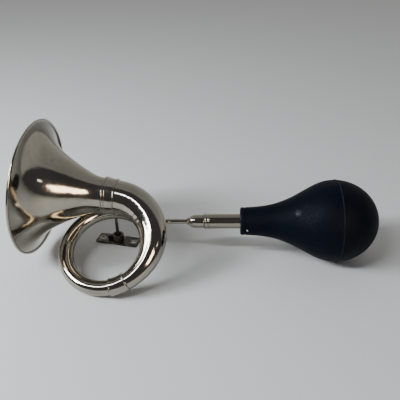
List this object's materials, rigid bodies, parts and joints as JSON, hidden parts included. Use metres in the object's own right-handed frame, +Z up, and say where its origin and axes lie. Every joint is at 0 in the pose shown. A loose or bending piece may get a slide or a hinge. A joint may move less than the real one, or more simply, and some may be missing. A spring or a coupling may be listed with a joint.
{
  "type": "bulb horn",
  "caption": "Single-loop nickel-plated bulb horn: flared bell, coiled conical tube, reed barrel and rubber squeeze bulb, with a swivelling two-hole bracket under the loop.",
  "frame": {"origin": "centre of the footprint, on the table that the horn lies on", "axes": "+X along the mouth pipe from the bell towards the squeeze bulb, +Y away from the open side of the loop, +Z up"},
  "size_m": [0.4249, 0.1874, 0.1726],
  "materials": {
    "nickel_plate": "worn polished nickel plate over brass sheet",
    "bracket_steel": "dull tarnished plating on steel",
    "screw_steel": "bright steel",
    "bare_brass": "turned brass",
    "reed_bronze": "rolled spring bronze",
    "washer_leather": "oiled leather",
    "bulb_rubber": "satin moulded rubber with a raised parting line"
  },
  "bodies": {
    "horn": {"crook_lower": "nickel_plate", "crook_upper": "nickel_plate", "joint_sleeve": "nickel_plate", "crook_tail": "nickel_plate", "mouth_pipe": "nickel_plate", "crossing_stay": "nickel_plate", "bell_flare": "nickel_plate", "bell_rim": "nickel_plate", "bell_ferrule": "nickel_plate", "reed_cap": "nickel_plate", "union_ring": "nickel_plate", "reed_barrel": "nickel_plate", "stem_saddle": "nickel_plate", "bracket_stem": "bracket_steel", "neck_pin": "screw_steel", "reed_screws": "screw_steel", "reed_plug": "bare_brass", "reed_shallot": "bare_brass", "reed_clamp": "bare_brass", "union_washer": "washer_leather", "bulb_front": "bulb_rubber"},
    "bracket": {"bracket_boss": "bracket_steel", "bracket_plate": "bracket_steel", "bracket_set_screw": "screw_steel"},
    "reed": {"reed_tongue": "reed_bronze"},
    "bulb_end": {"bulb_rear": "bulb_rubber"}
  },
  "joints": [
    {"name": "bulb_squeeze", "type": "slide", "parent": "horn", "child": "bulb_end", "axis": [-1, 0, 0], "range_m": [0, 0.025], "stiffness_N_per_m": 400, "deforming": ["bulb_front"]},
    {"name": "bracket_swivel", "type": "hinge", "parent": "horn", "child": "bracket", "pos_m": [-0.11213, 0.02506, 0], "axis": [0, 0, 1], "continuous": true},
    {"name": "reed_flex", "type": "hinge", "parent": "horn", "child": "reed", "pos_m": [0.01937, -0.00594, 0.0514], "axis": [0, -1, 0], "range_deg": [-1.8, 2], "stiffness_Nm_per_rad": 0.02}
  ]
}
